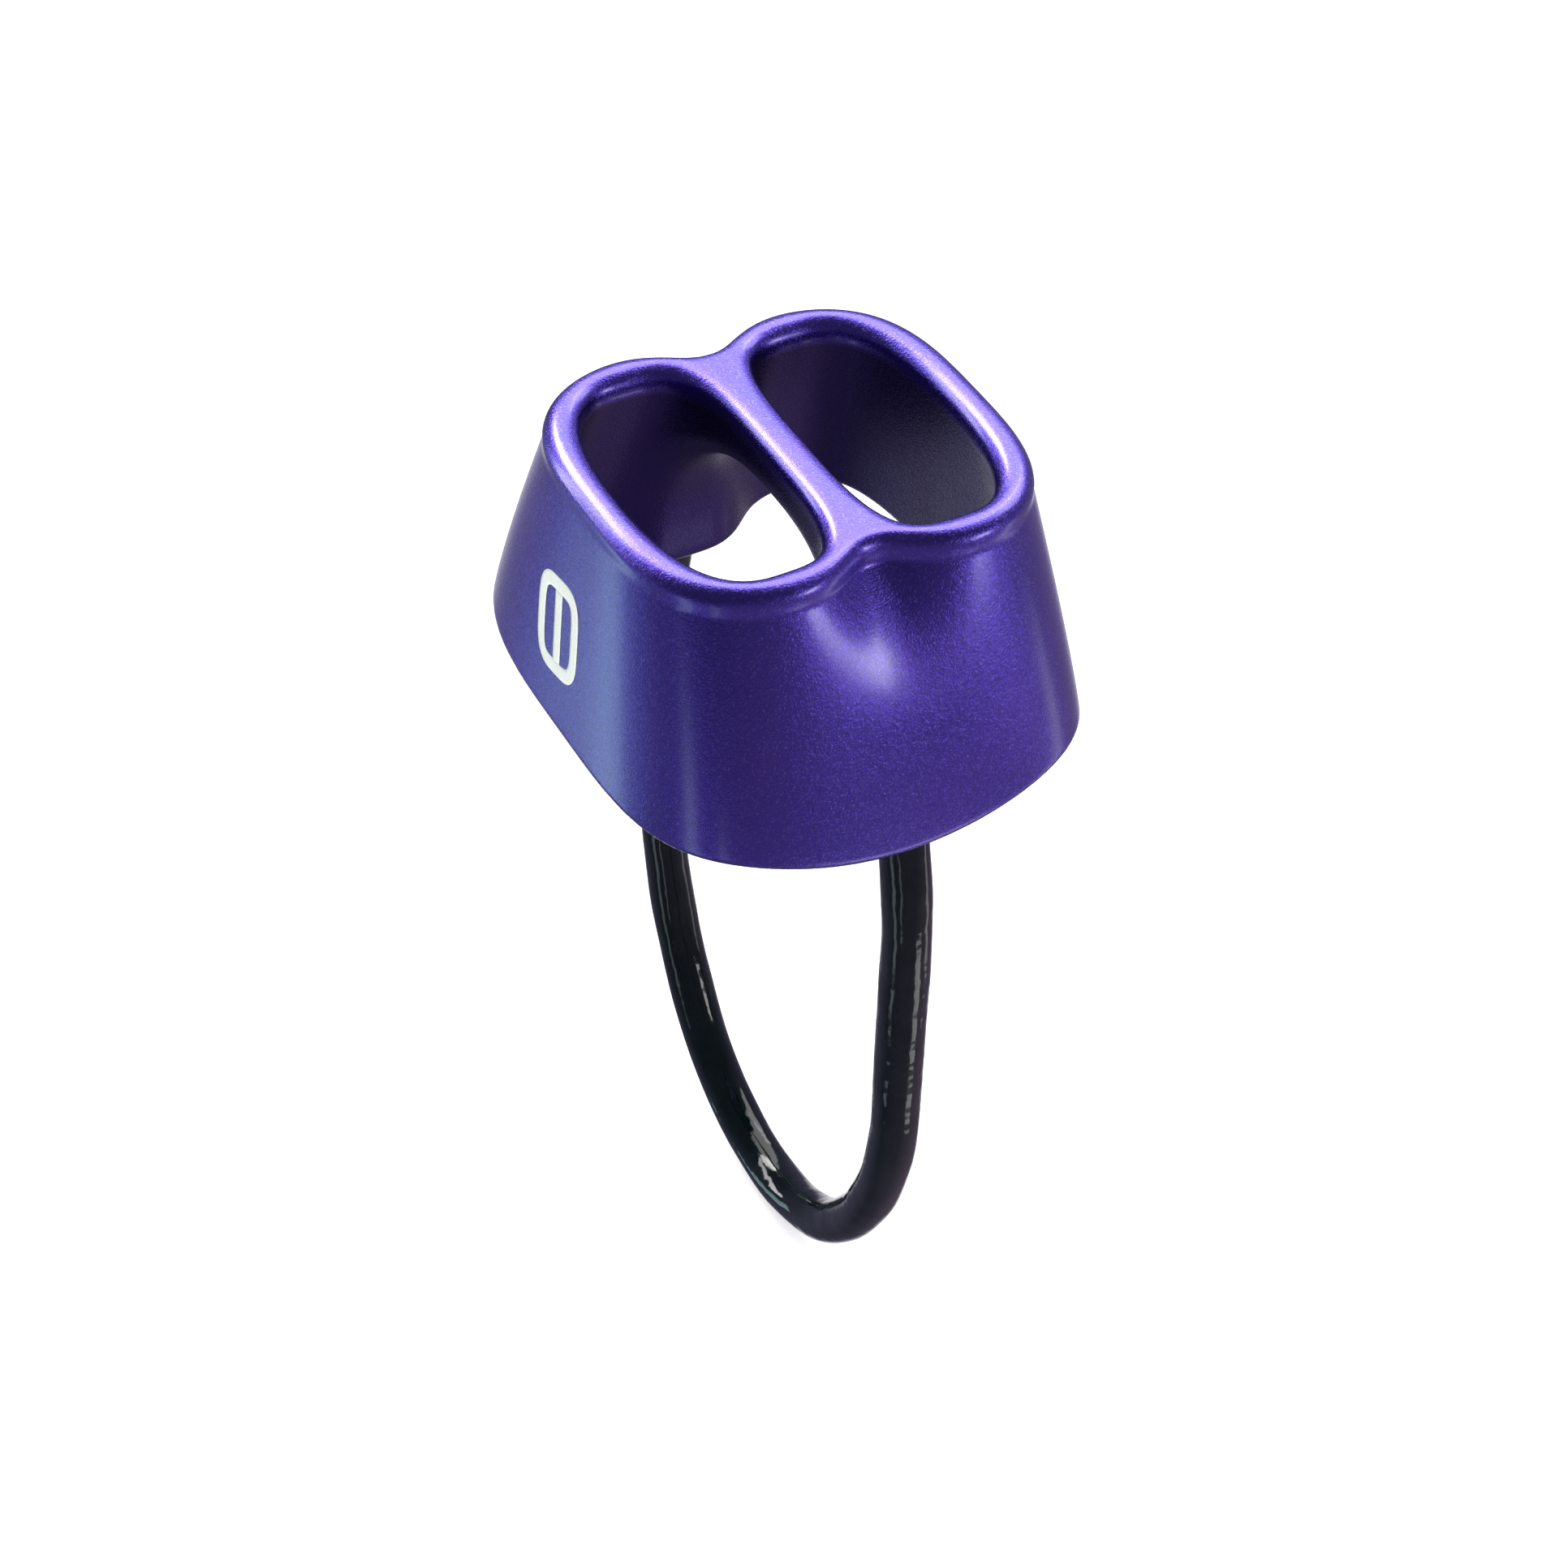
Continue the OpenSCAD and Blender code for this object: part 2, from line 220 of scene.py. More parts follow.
def metal_field(p):
    """The forging before its cable sockets are bored."""
    x, y, z = p[..., 0], p[..., 1], p[..., 2]
    away = np.hypot(x, np.maximum(np.abs(y) - DIVIDER_END_Y, 0))
    share = np.clip((away - DIVIDER_EDGE) / DIVIDER_FADE, 0, 1)
    top_round = mix(DIVIDER_ROUND, RIM_ROUND, share)
    radius = mix(LIP_ROUND, top_round, np.clip((z - LIP_TOP) / LIP_FADE, 0, 1))
    sides = [skin(x, y, z), -cavity(x, y, z), z - CROWN_Z, rim_z(x) - z]
    near = [s + radius for s in sides]
    deep = np.minimum(np.maximum.reduce(near), 0)
    return deep + np.sqrt(sum(np.maximum(n, 0) ** 2 for n in near)) - radius


def housing_field(p):
    """The finished forging, with its sockets bored."""
    return -smooth_min(-metal_field(p), socket(p[..., 0], p[..., 1], p[..., 2]), SOCKET_EDGE)


def slopes(field, p):
    """The field's rate of change along each axis."""
    out = np.empty_like(p)
    for axis, step in enumerate(np.eye(3) * SLOPE_STEP):
        out[..., axis] = (field(p + step) - field(p - step)) / (2 * SLOPE_STEP)
    return out


def settle(field, p, rounds):
    """Moves points onto the field's surface."""
    for _ in range(rounds):
        g = slopes(field, p)
        move = field(p) / np.maximum((g * g).sum(-1), SMALLEST_SLOPE)
        p = p - np.clip(move, -LONGEST_MOVE, LONGEST_MOVE)[:, None] * g
    return p


def surface_net(field, low, high, step):
    """Closed quad mesh of the field's surface, and its points, from a regular grid."""
    count = np.ceil((high - low) / step).astype(int) + 1
    origin = (low + high) / 2 - (count - 1) * step / 2
    axes = [origin[a] + step * np.arange(count[a]) for a in range(3)]
    grid = np.stack(np.meshgrid(*axes, indexing="ij"), -1)
    value = field(grid)
    inside = value < 0
    corners = [(i, j, k) for i in (0, 1) for j in (0, 1) for k in (0, 1)]
    nx, ny, nz = count - 1
    filled = sum(inside[i:i + nx, j:j + ny, k:k + nz].astype(int) for i, j, k in corners)
    cells = np.argwhere((filled > 0) & (filled < 8))
    at = np.array([value[tuple((cells + c).T)] for c in corners]).T
    total, hits = np.zeros((len(cells), 3)), np.zeros(len(cells))
    for m, first in enumerate(corners):
        for n, second in enumerate(corners):
            if n <= m or sum(abs(f - s) for f, s in zip(first, second)) != 1:
                continue
            crossed = (at[:, m] < 0) != (at[:, n] < 0)
            share = np.where(crossed, at[:, m] / (at[:, m] - at[:, n] + 1e-30), 0)
            place = np.array(first) + share[:, None] * (np.array(second) - np.array(first))
            total += place * crossed[:, None]
            hits += crossed
    points = origin + step * (cells + total / hits[:, None])
    number = np.full((nx, ny, nz), -1)
    number[tuple(cells.T)] = np.arange(len(cells))
    quads = []
    for axis in range(3):
        u, v = (axis + 1) % 3, (axis + 2) % 3
        ahead = np.take(inside, range(1, count[axis]), axis)
        here = np.take(inside, range(count[axis] - 1), axis)
        for leaving in (True, False):
            edge = np.argwhere((here & ~ahead) if leaving else (ahead & ~here))
            ring = []
            for du, dv in ((-1, -1), (0, -1), (0, 0), (-1, 0)):
                cell = edge.copy()
                cell[:, u] += du
                cell[:, v] += dv
                ring.append(number[tuple(cell.T)])
            quads.append(np.array(ring if leaving else ring[::-1]).T)
    return points, np.concatenate(quads)


def relax(field, points, quads, rounds):
    """Evens the mesh out along the surface."""
    edges = np.concatenate([quads[:, [k, (k + 1) % 4]] for k in range(4)])
    for _ in range(rounds):
        total, hits = np.zeros_like(points), np.zeros(len(points))
        np.add.at(total, edges[:, 0], points[edges[:, 1]])
        np.add.at(hits, edges[:, 0], 1)
        points = settle(field, mix(points, total / hits[:, None], RELAX_SHARE), 1)
    return settle(field, points, LAST_ROUNDS)


def new_object(name, points, faces, material):
    """A smooth mesh object from points in millimetres."""
    data = bpy.data.meshes.new(name)
    data.from_pydata((np.asarray(points) * MM).tolist(), [], [list(f) for f in faces])
    data.validate()
    data.polygons.foreach_set("use_smooth", [True] * len(data.polygons))
    data.materials.append(material)
    made = bpy.data.objects.new(name, data)
    bpy.context.scene.collection.objects.link(made)
    return made


def set_values(thing, name, values):
    """Stores one number per point for the materials to read."""
    attribute = thing.data.attributes.new(name, "FLOAT", "POINT")
    attribute.data.foreach_set("value", np.asarray(values, np.float32))


# ---------------------------------------------------------------- materials
VIOLET, VIOLET_PALE = (0.068, 0.042, 0.42), (0.092, 0.050, 0.46)
GRAIN_TINT, WORN_TINT = (0.30, 0.26, 0.80), (0.42, 0.38, 0.78)
# Painted shade: the darker, greyer violet laid on the walls inside the cavity
INSIDE_SHADE = (0.034, 0.021, 0.125)
BLACK, BLACK_PALE = (0.0008, 0.0032, 0.0034), (0.002, 0.0058, 0.0062)
WIRE_GAP, WIRE, WIRE_PALE = (0.10, 0.10, 0.11), (0.42, 0.43, 0.45), (0.60, 0.61, 0.62)
SLEEVE, SLEEVE_PALE = (0.46, 0.46, 0.47), (0.66, 0.66, 0.66)
INK, INK_DULL = (0.58, 0.63, 0.56), (0.50, 0.56, 0.51)
FLOOR, FLOOR_PALE, FLOOR_GLOW = (0.80, 0.80, 0.80), (0.82, 0.82, 0.82), 0.42


class Nodes:
    """Short names for building one material's nodes."""

    def __init__(self, name):
        self.material = bpy.data.materials.new(name)
        self.material.use_nodes = True
        self.tree = self.material.node_tree
        self.shader = self.tree.nodes["Principled BSDF"]
        self.place = self.add("ShaderNodeTexCoord").outputs["Object"]

    def add(self, kind, **settings):
        node = self.tree.nodes.new(kind)
        for key, value in settings.items():
            setattr(node, key, value)
        return node

    def join(self, source, target):
        self.tree.links.new(source, target)

    def noise(self, scale, detail=2.0, roughness=0.5, stretch=None):
        node = self.add("ShaderNodeTexNoise")
        node.inputs["Scale"].default_value = scale
        node.inputs["Detail"].default_value = detail
        node.inputs["Roughness"].default_value = roughness
        source = self.place
        if stretch:
            mapping = self.add("ShaderNodeMapping")
            mapping.inputs["Scale"].default_value = stretch
            self.join(self.place, mapping.inputs["Vector"])
            source = mapping.outputs["Vector"]
        self.join(source, node.inputs["Vector"])
        return node.outputs["Fac"]

    def span(self, source, low, high, to_low=0.0, to_high=1.0):
        """Maps low to to_low and high to to_high, and stays between them."""
        node = self.add("ShaderNodeMapRange")
        limits = {"From Min": low, "From Max": high, "To Min": to_low, "To Max": to_high}
        for name, value in limits.items():
            node.inputs[name].default_value = value
        self.join(source, node.inputs["Value"])
        return node.outputs["Result"]

    def blend(self, share, first, second):
        """Goes from the first colour to the second with the share."""
        node = self.add("ShaderNodeMix", data_type="RGBA")
        self.join(share, node.inputs["Factor"])
        for socket_name, value in (("A", first), ("B", second)):
            target = next(s for s in node.inputs if s.name == socket_name and s.type == "RGBA")
            if isinstance(value, tuple):
                target.default_value = (*value, 1)
            else:
                self.join(value, target)
        return next(s for s in node.outputs if s.type == "RGBA")

    def sum(self, first, second):
        node = self.add("ShaderNodeMath", operation="ADD")
        self.join(first, node.inputs[0])
        self.join(second, node.inputs[1])
        return node.outputs[0]

    def stored(self, name):
        return self.add("ShaderNodeAttribute", attribute_name=name).outputs["Fac"]

    def bump(self, height, distance, under=None):
        node = self.add("ShaderNodeBump")
        node.inputs["Strength"].default_value = 1.0
        node.inputs["Distance"].default_value = distance
        self.join(height, node.inputs["Height"])
        if under is not None:
            self.join(under, node.inputs["Normal"])
        return node.outputs["Normal"]

    def set(self, **values):
        """Joins nodes to the shader's sockets, and puts constants on the sockets themselves."""
        for name, value in values.items():
            target = self.shader.inputs[name.replace("_", " ")]
            if hasattr(value, "is_linked"):
                self.join(value, target)
            else:
                target.default_value = (*value, 1) if isinstance(value, tuple) else value


def anodised():
    """Bead-blasted aluminium under a violet oxide coat, with painted shade darkening the walls
    inside the cavity.
    """
    n = Nodes("anodised_violet")
    grain = n.noise(5200, 2.0, 0.6)
    dimples = n.noise(1700, 2.0, 0.5)
    patches = n.noise(80, 3.0, 0.5)
    body = n.blend(n.span(patches, 0.3, 0.7), VIOLET, VIOLET_PALE)
    speckled = n.blend(n.span(grain, 0.55, 0.80, 0.0, 0.7), body, GRAIN_TINT)
    rubbed = n.sum(n.stored("edge"), n.span(grain, 0.2, 0.8, -0.4, 0.4))
    worn = n.blend(n.span(rubbed, 0.9, 1.6, 0.0, 0.6), speckled, WORN_TINT)
    # Painted shade: the stored inside mask darkens the cavity walls, and their coat is thinner
    # there
    shaded_inside = n.blend(n.stored("inside"), worn, INSIDE_SHADE)
    rough = n.sum(n.span(grain, 0.3, 0.7, 0.22, 0.32), n.span(patches, 0.3, 0.7, -0.02, 0.03))
    coat = n.span(n.stored("inside"), 0.0, 1.0, 0.6, 0.08)
    n.set(Base_Color=shaded_inside, Metallic=1.0, Roughness=rough,
          Coat_Weight=coat, Coat_Roughness=0.22, Coat_IOR=1.8,
          Normal=n.bump(grain, 0.00006, n.bump(dimples, 0.000035)))
    return n.material


def jacket_plastic():
    """Glossy black extruded plastic with faint flow lines."""
    n = Nodes("jacket_black")
    haze = n.noise(240, 3.0, 0.6)
    scuffs = n.noise(2600, 2.0, 0.7)
    tone = n.blend(n.span(haze, 0.35, 0.7), BLACK, BLACK_PALE)
    ripple = n.noise(300, 2.0, 0.5)
    rough = n.sum(n.span(haze, 0.3, 0.7, 0.05, 0.11), n.span(scuffs, 0.62, 0.8, 0.0, 0.06))
    n.set(Base_Color=tone, Metallic=0.0, Roughness=rough, IOR=1.38,
          Coat_Weight=0.1, Coat_Roughness=0.05,
          Normal=n.bump(ripple, 0.00018, n.bump(scuffs, 0.000005)))
    return n.material


def cable_steel():
    """Galvanised steel wire: fine wires laid along each strand."""
    n = Nodes("cable_steel")
    spots = n.noise(900, 3.0, 0.6)
    wires = n.stored("wires")
    tone = n.blend(n.span(spots, 0.35, 0.7), WIRE, WIRE_PALE)
    n.set(Base_Color=n.blend(wires, WIRE_GAP, tone), Metallic=1.0,
          Roughness=n.span(spots, 0.3, 0.7, 0.28, 0.42), Normal=n.bump(wires, 0.00006))
    return n.material


def ferrule_metal():
    """Pressed aluminium sleeve with turned rings and handling marks."""
    n = Nodes("ferrule_metal")
    turned = n.noise(60, 2.0, 0.5, (1, 1, 90))
    marks = n.noise(1400, 3.0, 0.6)
    tone = n.blend(n.span(marks, 0.35, 0.7), SLEEVE, SLEEVE_PALE)
    n.set(Base_Color=tone, Metallic=1.0, Roughness=n.span(turned, 0.3, 0.7, 0.22, 0.40),
          Normal=n.bump(turned, 0.00002, n.bump(marks, 0.00001)))
    return n.material


def print_ink():
    """Pale printed ink, thin enough to take the grain of the metal under it."""
    n = Nodes("printed_ink")
    grain = n.noise(4200, 2.0, 0.6)
    tone = n.blend(n.span(grain, 0.35, 0.75), INK, INK_DULL)
    n.set(Base_Color=tone, Metallic=0.0, Roughness=n.span(grain, 0.3, 0.7, 0.42, 0.6),
          Normal=n.bump(grain, 0.00003))
    return n.material


def floor_white():
    """Matt white studio floor, with a trace of paper texture."""
    n = Nodes("floor_white")
    fibre = n.noise(300, 3.0, 0.6)
    n.set(Base_Color=n.blend(n.span(fibre, 0.3, 0.7), FLOOR, FLOOR_PALE),
          Roughness=0.9, Emission_Color=(1.0, 1.0, 1.0), Emission_Strength=FLOOR_GLOW)
    n.shader.inputs["Specular IOR Level"].default_value = 0.0
    return n.material


# ---------------------------------------------------------------- pieces
def make_housing():
    """The forging, with its wear and the mask of its painted interior shade stored for the
    material.
    """
    margin = 2 * GRID_STEP
    low = np.array([-MOUTH_X, -MOUTH_Y, 0]) - margin
    high = np.array([MOUTH_X, MOUTH_Y, CROWN_Z]) + margin
    points, quads = surface_net(housing_field, low, high, GRID_STEP)
    points = relax(housing_field, points, quads, RELAX_ROUNDS)
    made = new_object("forged_housing", points, quads, anodised())
    # Seven samples of the field give its bending: above zero where the metal stands out
    bend = -6 * metal_field(points)
    for step in np.eye(3) * WEAR_STEP:
        bend += metal_field(points + step) + metal_field(points - step)
    set_values(made, "edge", np.clip(bend / (WEAR_STEP * WEAR_STEP) - WEAR_FROM, 0, 1))
    x, y, z = points.T
    # Mask for the painted shade inside: strongest deep in the cavity and below the crown
    depth = skin(x, y, z) + INSIDE_LOSS * (cavity(x, y, z) < 0)
    deep = np.clip((-depth - INSIDE_DEPTH) / INSIDE_FADE, 0, 1)
    set_values(made, "inside", deep * np.clip((CROWN_Z - INSIDE_DROP - z) / INSIDE_DROP_FADE, 0, 1))
    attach(made, "housing_body")
    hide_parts("housing")


# The jacket: its radius, the part of that kept for its waves, its bore, the gap above its ends,
# and its mesh
JACKET_R, WAVE_ROOM, BORE_R = 2.37, 0.03, 1.52
JACKET_END_GAP = 0.1
JACKET_SIDES, JACKET_STEP = 32, 0.75
# Waves round the jacket: height, number round it, turn in radians per millimetre, and start
WAVES = [(0.022, 2, 0.55, 0.0), (0.014, 3, -0.31, 1.0)]
# Swellings along the jacket: height, radians per millimetre, and start
SWELLS = [(0.016, 0.23, 0.0), (0.012, 0.71, 2.0)]
# The core: strand radius, how far its outline lies inside the strands' own, the length of one
# turn of its lay, the wires round it, the ferrules' length, how far below their tops it ends,
# and its mesh
STRAND_R, STRAND_INSET, LAY, WIRES_ROUND = 0.5, 0.01, 19.0, 42
FERRULE_LEN, CORE_ROOM = 6.5, 1.2
CORE_SIDES, CORE_STEP = 72, 0.9
# The loop's route: half-width, upper bend, straight legs, flank bends and bottom bend
LOOP_HALF, UPPER_R, LEG_TOP, LEG_LEN = 24.4, 50.0, 13.6, 21.4
LEG_STATIONS = 24
FLANK_R, FLANK_TURN = 41.4, math.radians(39)
LEG_LOW = -LEG_TOP - LEG_LEN
FLANK_U = LOOP_HALF - FLANK_R
BOTTOM_R = FLANK_R + FLANK_U / math.cos(FLANK_TURN)
BOTTOM_V = LEG_LOW + FLANK_U * math.tan(FLANK_TURN)
PIVOT_U = LOOP_HALF - UPPER_R * (1 - math.cos(EXIT_TILT))
PIVOT_V = UPPER_R * math.sin(EXIT_TILT) - LEG_TOP


def bend_points(u, v, r, start, end, step):
    """Stations along a bend round (u, v), without its last."""
    turns = np.linspace(start, end, max(2, int(abs(end - start) * r / step)))
    return [(u + r * math.cos(t), v + r * math.sin(t), t) for t in turns[:-1]]


def cable_route(depth, step):
    """Stations (u, v, angle of the outward side) between the sockets, from depth up each bore."""
    length = depth - PIVOT_V / math.cos(EXIT_TILT)
    ends = np.linspace(length, 0, max(2, int(length / step)))[:-1]
    lean, rise = math.sin(EXIT_TILT), math.cos(EXIT_TILT)
    half = [(PIVOT_U - s * lean, PIVOT_V + s * rise, EXIT_TILT) for s in ends]
    half += bend_points(LOOP_HALF - UPPER_R, -LEG_TOP, UPPER_R, EXIT_TILT, 0, step)
    legs = np.arange(LEG_STATIONS) * (LEG_LEN / LEG_STATIONS)
    half += [(LOOP_HALF, -LEG_TOP - s, 0.0) for s in legs]
    half += bend_points(FLANK_U, LEG_LOW, FLANK_R, 0, -FLANK_TURN, step)
    half += bend_points(0, BOTTOM_V, BOTTOM_R, -FLANK_TURN, -math.pi / 2, step)
    mirrored = [(-u, v, -math.pi - t) for u, v, t in half[::-1]]
    return np.array(half + [(0.0, BOTTOM_V - BOTTOM_R, -math.pi / 2)] + mirrored)


def ring_points(station, radii, turns):
    """Points round one station of the route; turn 0 is the outward side, and x lies across."""
    u, v, side = station
    out = radii * np.cos(turns)
    return np.stack([radii * np.sin(turns), u + out * math.cos(side), v + out * math.sin(side)], 1)


def tube_quads(rings, sides, closed=False):
    """Quads between neighbouring rings, and from the last to the first when closed."""
    last = rings if closed else rings - 1
    k, i = np.meshgrid(np.arange(last), np.arange(sides), indexing="ij")
    a, b = k * sides + i, k * sides + (i + 1) % sides
    c, d = (k + 1) % rings * sides + (i + 1) % sides, (k + 1) % rings * sides + i
    return np.stack([a, b, c, d], -1).reshape(-1, 4)


def run_along(route):
    """Distance along the route to each station."""
    return np.concatenate([[0], np.cumsum(np.hypot(*np.diff(route[:, :2], axis=0).T))])


def make_jacket():
    """The plastic jacket: one closed tube that shows the cable's lay as soft waves."""
    route = cable_route(SOCKET_DEPTH - JACKET_END_GAP, JACKET_STEP)
    turns = np.arange(JACKET_SIDES) * 2 * math.pi / JACKET_SIDES
    outer, inner = [], []
    for s, station in zip(run_along(route), route):
        wave = sum(a * np.sin(n * turns + s * k + start) for a, n, k, start in WAVES)
        swell = sum(a * math.sin(s * k + start) for a, k, start in SWELLS)
        outer.append(ring_points(station, JACKET_R - WAVE_ROOM + wave + swell, turns))
        inner.append(ring_points(station, np.full(JACKET_SIDES, BORE_R), turns))
    rings = outer + inner[::-1]
    quads = tube_quads(len(rings), JACKET_SIDES, True)
    made = new_object("cable_jacket", np.concatenate(rings), quads, jacket_plastic())
    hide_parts("front_jacket_root", "loop_jacket", "rear_jacket_root")
    return made


def make_core():
    """The steel cable inside the jacket: six strands laid round a seventh."""
    sides, reach = CORE_SIDES, 2 * STRAND_R
    route = cable_route(SOCKET_DEPTH + FERRULE_LEN - CORE_ROOM, CORE_STEP)
    turns = np.arange(sides) * 2 * math.pi / sides
    rings, wires = [], []
    for s, station in zip(run_along(route), route):
        twist = 2 * math.pi * s / LAY
        off = (turns - twist + math.pi / 6) % (math.pi / 3) - math.pi / 6
        lift = np.sqrt(np.maximum(STRAND_R**2 - (reach * np.sin(off)) ** 2, 0))
        rings.append(ring_points(station, reach * np.cos(off) + lift - STRAND_INSET, turns))
        wires.append(0.5 + 0.5 * np.cos(WIRES_ROUND * (turns - twist)))
    faces = tube_quads(len(rings), sides).tolist()
    points = np.concatenate(rings)
    first, last = len(points), len(points) + 1
    points = np.concatenate([points, rings[0].mean(0)[None], rings[-1].mean(0)[None]])
    top = (len(rings) - 1) * sides
    faces += [[first, (i + 1) % sides, i] for i in range(sides)]
    faces += [[last, top + i, top + (i + 1) % sides] for i in range(sides)]
    made = new_object("cable_core", points, faces, cable_steel())
    set_values(made, "wires", np.concatenate(wires + [[1.0, 1.0]]))
    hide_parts("front_core_root", "loop_core", "rear_core_root")
    return made


# The printed mark on the left end wall: place, lean, size, and its layer above and in the wall
MARK_Y, MARK_Z = 2.3, 12.4
MARK_LEAN = math.radians(8)
MARK_HALF_WIDTH, MARK_HALF_LEN, MARK_LINE = 3.2, 4.1, 1.35
MARK_THICK, MARK_SINK = 0.03, 0.04
# Power that turns a circle into the frame's rounded rectangle, and the bar's overlap with it
MARK_POWER, MARK_OVERLAP = 0.5, 0.05
FRAME_POINTS, BAR_POINTS, ACROSS_POINTS = 120, 15, 5
# Rounds and longest move for laying a point on the wall
WALL_ROUNDS, WALL_MOVE = 14, 2


def on_wall(y, z):
    """Points of the left end wall at y and z, and the wall's outward directions there."""
    p = np.stack([np.full(y.size, -MOUTH_X), y, z], 1)
    for _ in range(WALL_ROUNDS):
        p[:, 0] += np.clip(skin(p[:, 0], p[:, 1], p[:, 2]), -WALL_MOVE, WALL_MOVE)
    g = slopes(lambda q: skin(q[..., 0], q[..., 1], q[..., 2]), p)
    return p, g / np.linalg.norm(g, axis=1)[:, None]


def make_strip(path, normals, closed):
    """Points and faces of a printed line along a flat path: a thin closed layer on the wall."""
    across = np.linspace(-0.5, 0.5, ACROSS_POINTS) * MARK_LINE
    flat = path[:, None, :] + normals[:, None, :] * across[None, :, None]
    u, v = flat[..., 0].ravel(), flat[..., 1].ravel()
    p, out = on_wall(MARK_Y + u * math.cos(MARK_LEAN) + v * math.sin(MARK_LEAN),
                     MARK_Z - u * math.sin(MARK_LEAN) + v * math.cos(MARK_LEAN))
    rows, cols = len(path), len(across)
    count = rows * cols
    number = np.arange(count).reshape(rows, cols)
    faces, border = [], []
    for i in range(rows if closed else rows - 1):
        here, there = number[i], number[(i + 1) % rows]
        for j in range(cols - 1):
            faces.append([here[j], there[j], there[j + 1], here[j + 1]])
        border += [(there[0], here[0]), (here[-1], there[-1])]
    if not closed:
        border += [(number[0, j], number[0, j + 1]) for j in range(cols - 1)]
        border += [(number[-1, j + 1], number[-1, j]) for j in range(cols - 1)]
    faces += [[a + count for a in f[::-1]] for f in faces]
    faces += [[a, a + count, b + count, b] for a, b in border]
    return np.concatenate([p + out * MARK_THICK, p - out * MARK_SINK]), faces


def make_mark():
    """A plain printed pictogram on the left end wall: the two slots in their frame."""
    turn = np.linspace(0, 2 * math.pi, FRAME_POINTS + 1)[:-1]
    side = np.stack([np.cos(turn), np.sin(turn)], 1)
    square = np.sign(side) * np.abs(side) ** MARK_POWER
    ring = square * (MARK_HALF_WIDTH, MARK_HALF_LEN)
    along = np.roll(ring, -1, 0) - np.roll(ring, 1, 0)
    out = np.stack([along[:, 1], -along[:, 0]], 1) / np.linalg.norm(along, axis=1)[:, None]
    reach = MARK_HALF_LEN - MARK_LINE / 2 + MARK_OVERLAP
    bar = np.stack([np.zeros(BAR_POINTS), np.linspace(-reach, reach, BAR_POINTS)], 1)
    frame_points, frame_faces = make_strip(ring, out, True)
    bar_points, bar_faces = make_strip(bar, np.tile((1.0, 0.0), (BAR_POINTS, 1)), False)
    start = len(frame_points)
    faces = frame_faces + [[a + start for a in f] for f in bar_faces]
    points = np.concatenate([frame_points, bar_points])
    made = new_object("printed_mark", points, faces, print_ink())
    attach(made, "housing_body")


make_housing()
jacket = make_jacket()
core = make_core()
make_mark()
sleeve = ferrule_metal()
for name in ("front_ferrule", "rear_ferrule"):
    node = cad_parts[name]
    node.data.materials.clear()
    node.data.materials.append(sleeve)
for piece in (jacket, core):
    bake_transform(piece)

# ---------------------------------------------------------------- studio
# The floor's flat radius, the radius of its bend and the height of its backdrop, in metres
FLOOR_R, FLOOR_BEND, FLOOR_WALL = 1.4, 1.2, 2.4
FLOOR_SIDES, FLOOR_RINGS, BEND_RINGS = 96, 8, 11
# Distance of every softbox from the housing, in metres
LIGHT_DISTANCE = 0.8


def make_floor():
    """A round floor that curves up into a backdrop, level with the loop's lowest point."""
    sides = FLOOR_SIDES
    profile = [(FLOOR_R * k / FLOOR_RINGS, 0.0) for k in range(FLOOR_RINGS + 1)]
    profile += [(FLOOR_R + FLOOR_BEND * math.sin(t), FLOOR_BEND * (1 - math.cos(t)))
                for t in np.linspace(0, math.pi / 2, BEND_RINGS + 1)[1:]]
    profile += [(FLOOR_R + FLOOR_BEND, FLOOR_WALL)]
    turns = np.arange(sides) * 2 * math.pi / sides
    points = [[0, 0, 0]]
    points += [[r * math.cos(t), r * math.sin(t), h] for r, h in profile[1:] for t in turns]
    faces = [[0, 1 + i, 1 + (i + 1) % sides] for i in range(sides)]
    for k in range(len(profile) - 2):
        for i in range(sides):
            a, b = 1 + k * sides + i, 1 + k * sides + (i + 1) % sides
            faces.append([a, a + sides, b + sides, b])
    points = np.array(points) / MM + np.array([0, 0, loop_low.z / MM])
    floor = new_object("studio_floor", points, faces, floor_white())
    floor.visible_glossy = False
    floor.visible_shadow = False


def facing(azimuth, elevation):
    """Unit vector towards a light. Azimuth 0 is the front, 90 the right and 180 the back."""
    a, e = math.radians(azimuth), math.radians(elevation)
    return Vector((math.sin(a) * math.cos(e), -math.cos(a) * math.cos(e), math.sin(e)))


def softbox(name, azimuth, elevation, half_width, half_height, radiance, colour):
    """A softbox aimed at the housing. Its half-width and half-height are angles, in degrees."""
    away = facing(azimuth, elevation)
    width = 2 * LIGHT_DISTANCE * math.tan(math.radians(half_width))
    height = 2 * LIGHT_DISTANCE * math.tan(math.radians(half_height))
    data = bpy.data.lights.new(name, "AREA")
    data.shape = "RECTANGLE"
    data.size, data.size_y = width, height
    data.energy = radiance * width * height * math.pi
    data.color = colour
    lamp = bpy.data.objects.new(name, data)
    lamp.location = away * LIGHT_DISTANCE + Vector((0, 0, housing_high.z / 2))
    lamp.rotation_mode = "QUATERNION"
    lamp.rotation_quaternion = away.to_track_quat("Z", "Y")
    lamp.visible_camera = False
    bpy.context.scene.collection.objects.link(lamp)


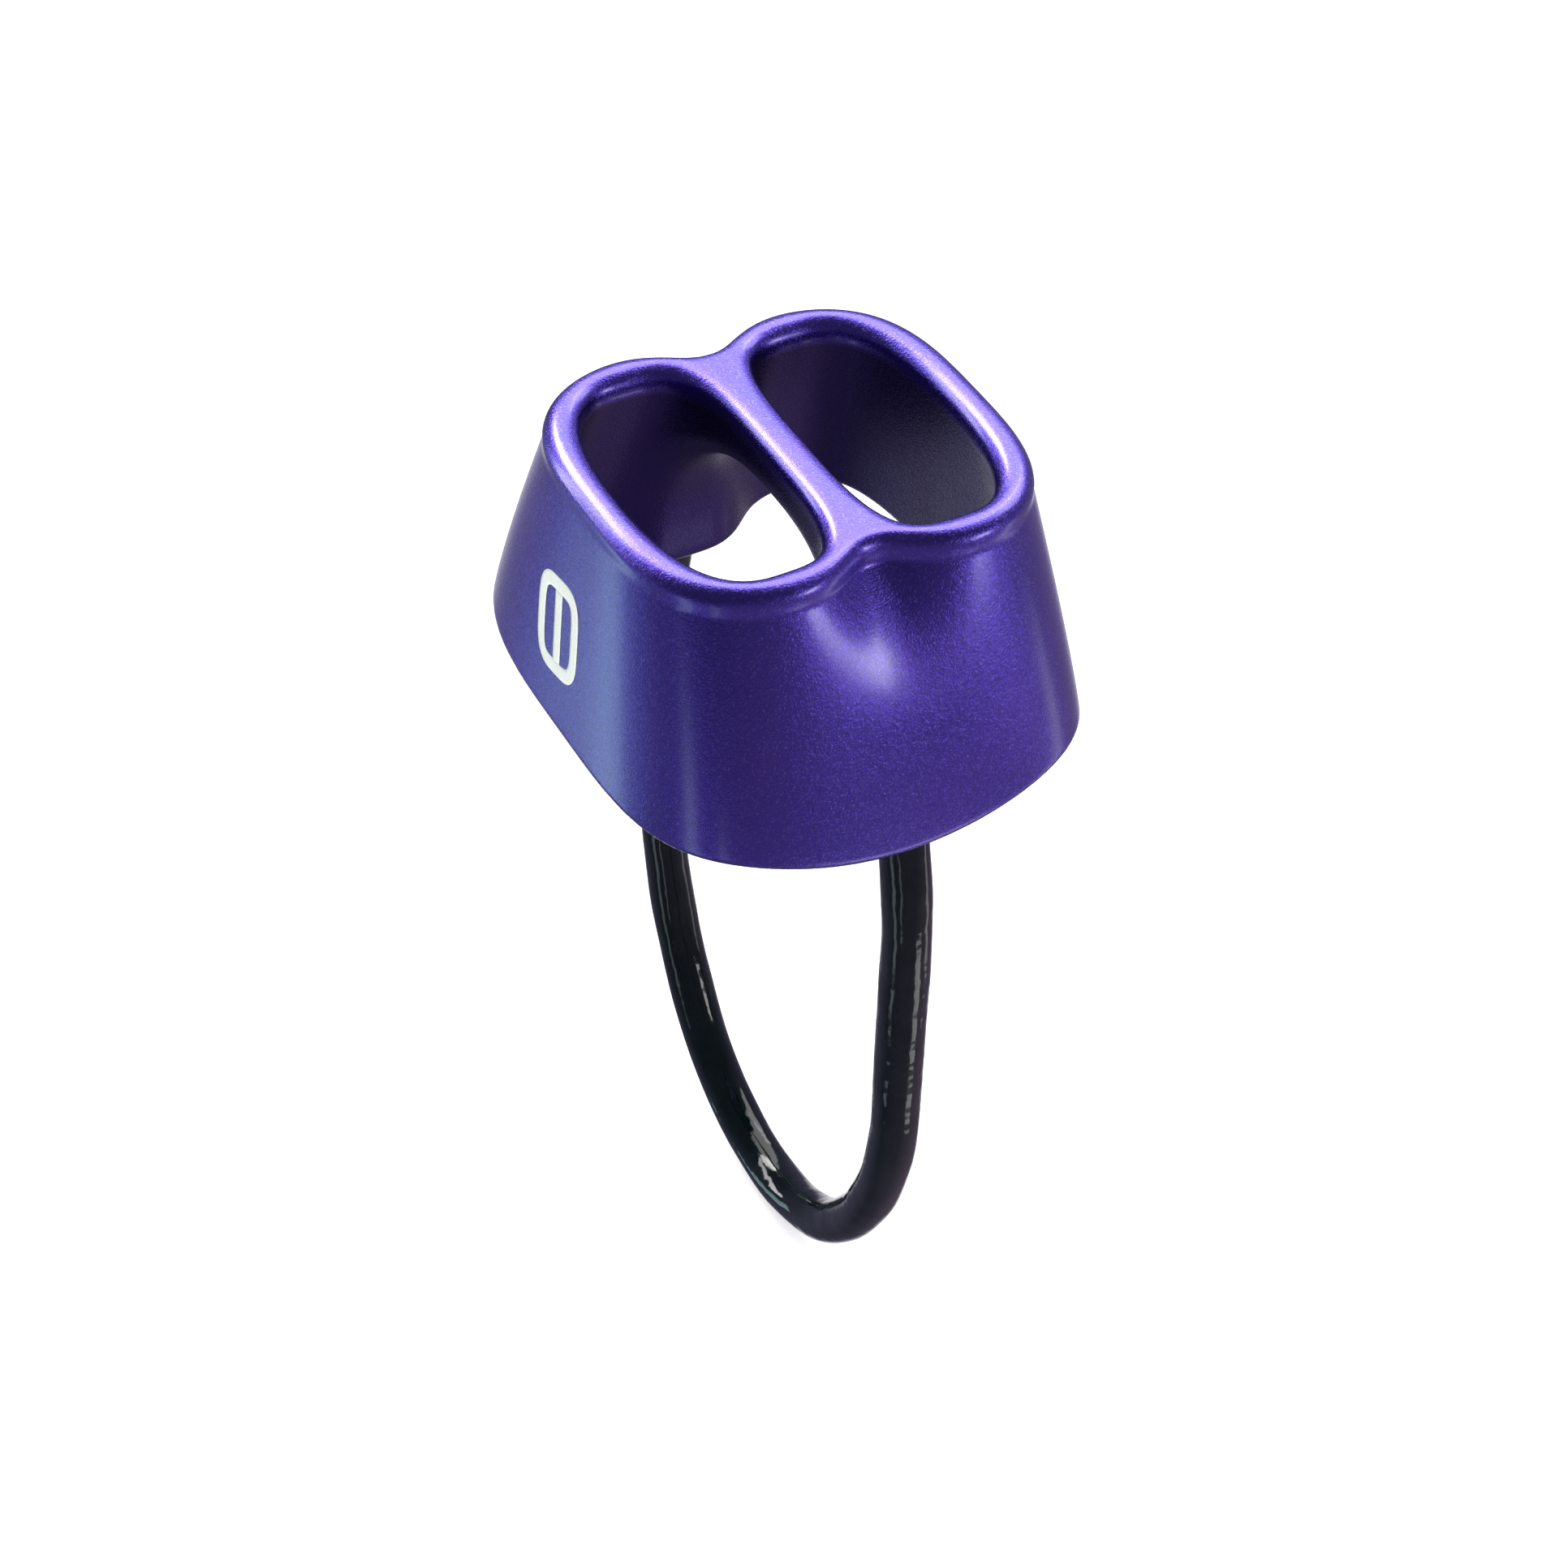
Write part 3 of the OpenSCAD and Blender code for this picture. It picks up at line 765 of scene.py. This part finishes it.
# Softboxes: name, azimuth, elevation, half-width, half-height, radiance and colour. Some are
# below the floor, which casts no shadow
SOFTBOXES = [
    ("overhead", 158, 52, 30, 20, 3.5, (1.0, 0.99, 0.97)),
    ("back_strip", -165, 38, 16, 7, 15.0, (1.0, 1.0, 0.96)),
    ("left_strip", -140, 12, 3.5, 24, 9.0, (0.97, 0.98, 1.0)),
    ("left_low", -136, -32, 5, 7, 2.2, (0.6, 0.95, 1.0)),
    ("right_side", 105, 40, 18, 12, 4.0, (1.0, 0.96, 1.0)),
    ("front_window", 34, 9, 7.5, 6, 8.0, (1.0, 0.97, 1.0)),
    ("left_flank_panel", -79, -31, 5, 17, 1.4, (0.82, 0.93, 1.0)),
    ("left_middle_strip", -50, -28, 2.5, 12, 1.3, (0.85, 0.95, 1.0)),
    ("low_front_band", 28, -45, 8, 5, 2.4, (0.95, 1.0, 0.95)),
    ("low_right_panel", 66, -30, 5, 16, 1.2, (1.0, 0.98, 0.95)),
]
# Ambient glows: azimuth, elevation, cosine where each fades out, and colour
GLOWS = [
    (5, -38, 0.35, (0.16, 0.11, 0.17)),
    (72, -42, 0.6, (0.14, 0.10, 0.12)),
    (-140, -20, 0.6, (0.10, 0.10, 0.16)),
    (120, 20, 0.3, (0.16, 0.13, 0.22)),
    (151, -43, 0.86, (0.9, 0.9, 0.9)),
]
AMBIENT = (0.10, 0.085, 0.14)


def make_world():
    """A dim room with a few broad, soft glows."""
    world = bpy.data.worlds.new("studio")
    bpy.context.scene.world = world
    world.use_nodes = True
    tree = world.node_tree
    towards = tree.nodes.new("ShaderNodeTexCoord").outputs["Generated"]
    total = None
    for azimuth, elevation, fade, colour in GLOWS:
        dot = tree.nodes.new("ShaderNodeVectorMath")
        dot.operation = "DOT_PRODUCT"
        dot.inputs[1].default_value = facing(azimuth, elevation)
        tree.links.new(towards, dot.inputs[0])
        share = tree.nodes.new("ShaderNodeMapRange")
        share.interpolation_type = "SMOOTHSTEP"
        share.inputs["From Min"].default_value = fade
        tree.links.new(dot.outputs["Value"], share.inputs["Value"])
        tint = tree.nodes.new("ShaderNodeVectorMath")
        tint.operation = "MULTIPLY_ADD"
        tint.inputs[1].default_value = colour
        tree.links.new(share.outputs["Result"], tint.inputs[0])
        if total is None:
            tint.inputs[2].default_value = AMBIENT
        else:
            tree.links.new(total, tint.inputs[2])
        total = tint.outputs["Vector"]
    tree.links.new(total, tree.nodes["Background"].inputs["Color"])


make_floor()
make_world()
for box in SOFTBOXES:
    softbox(*box)
bpy.context.scene.view_settings.view_transform = "Standard"
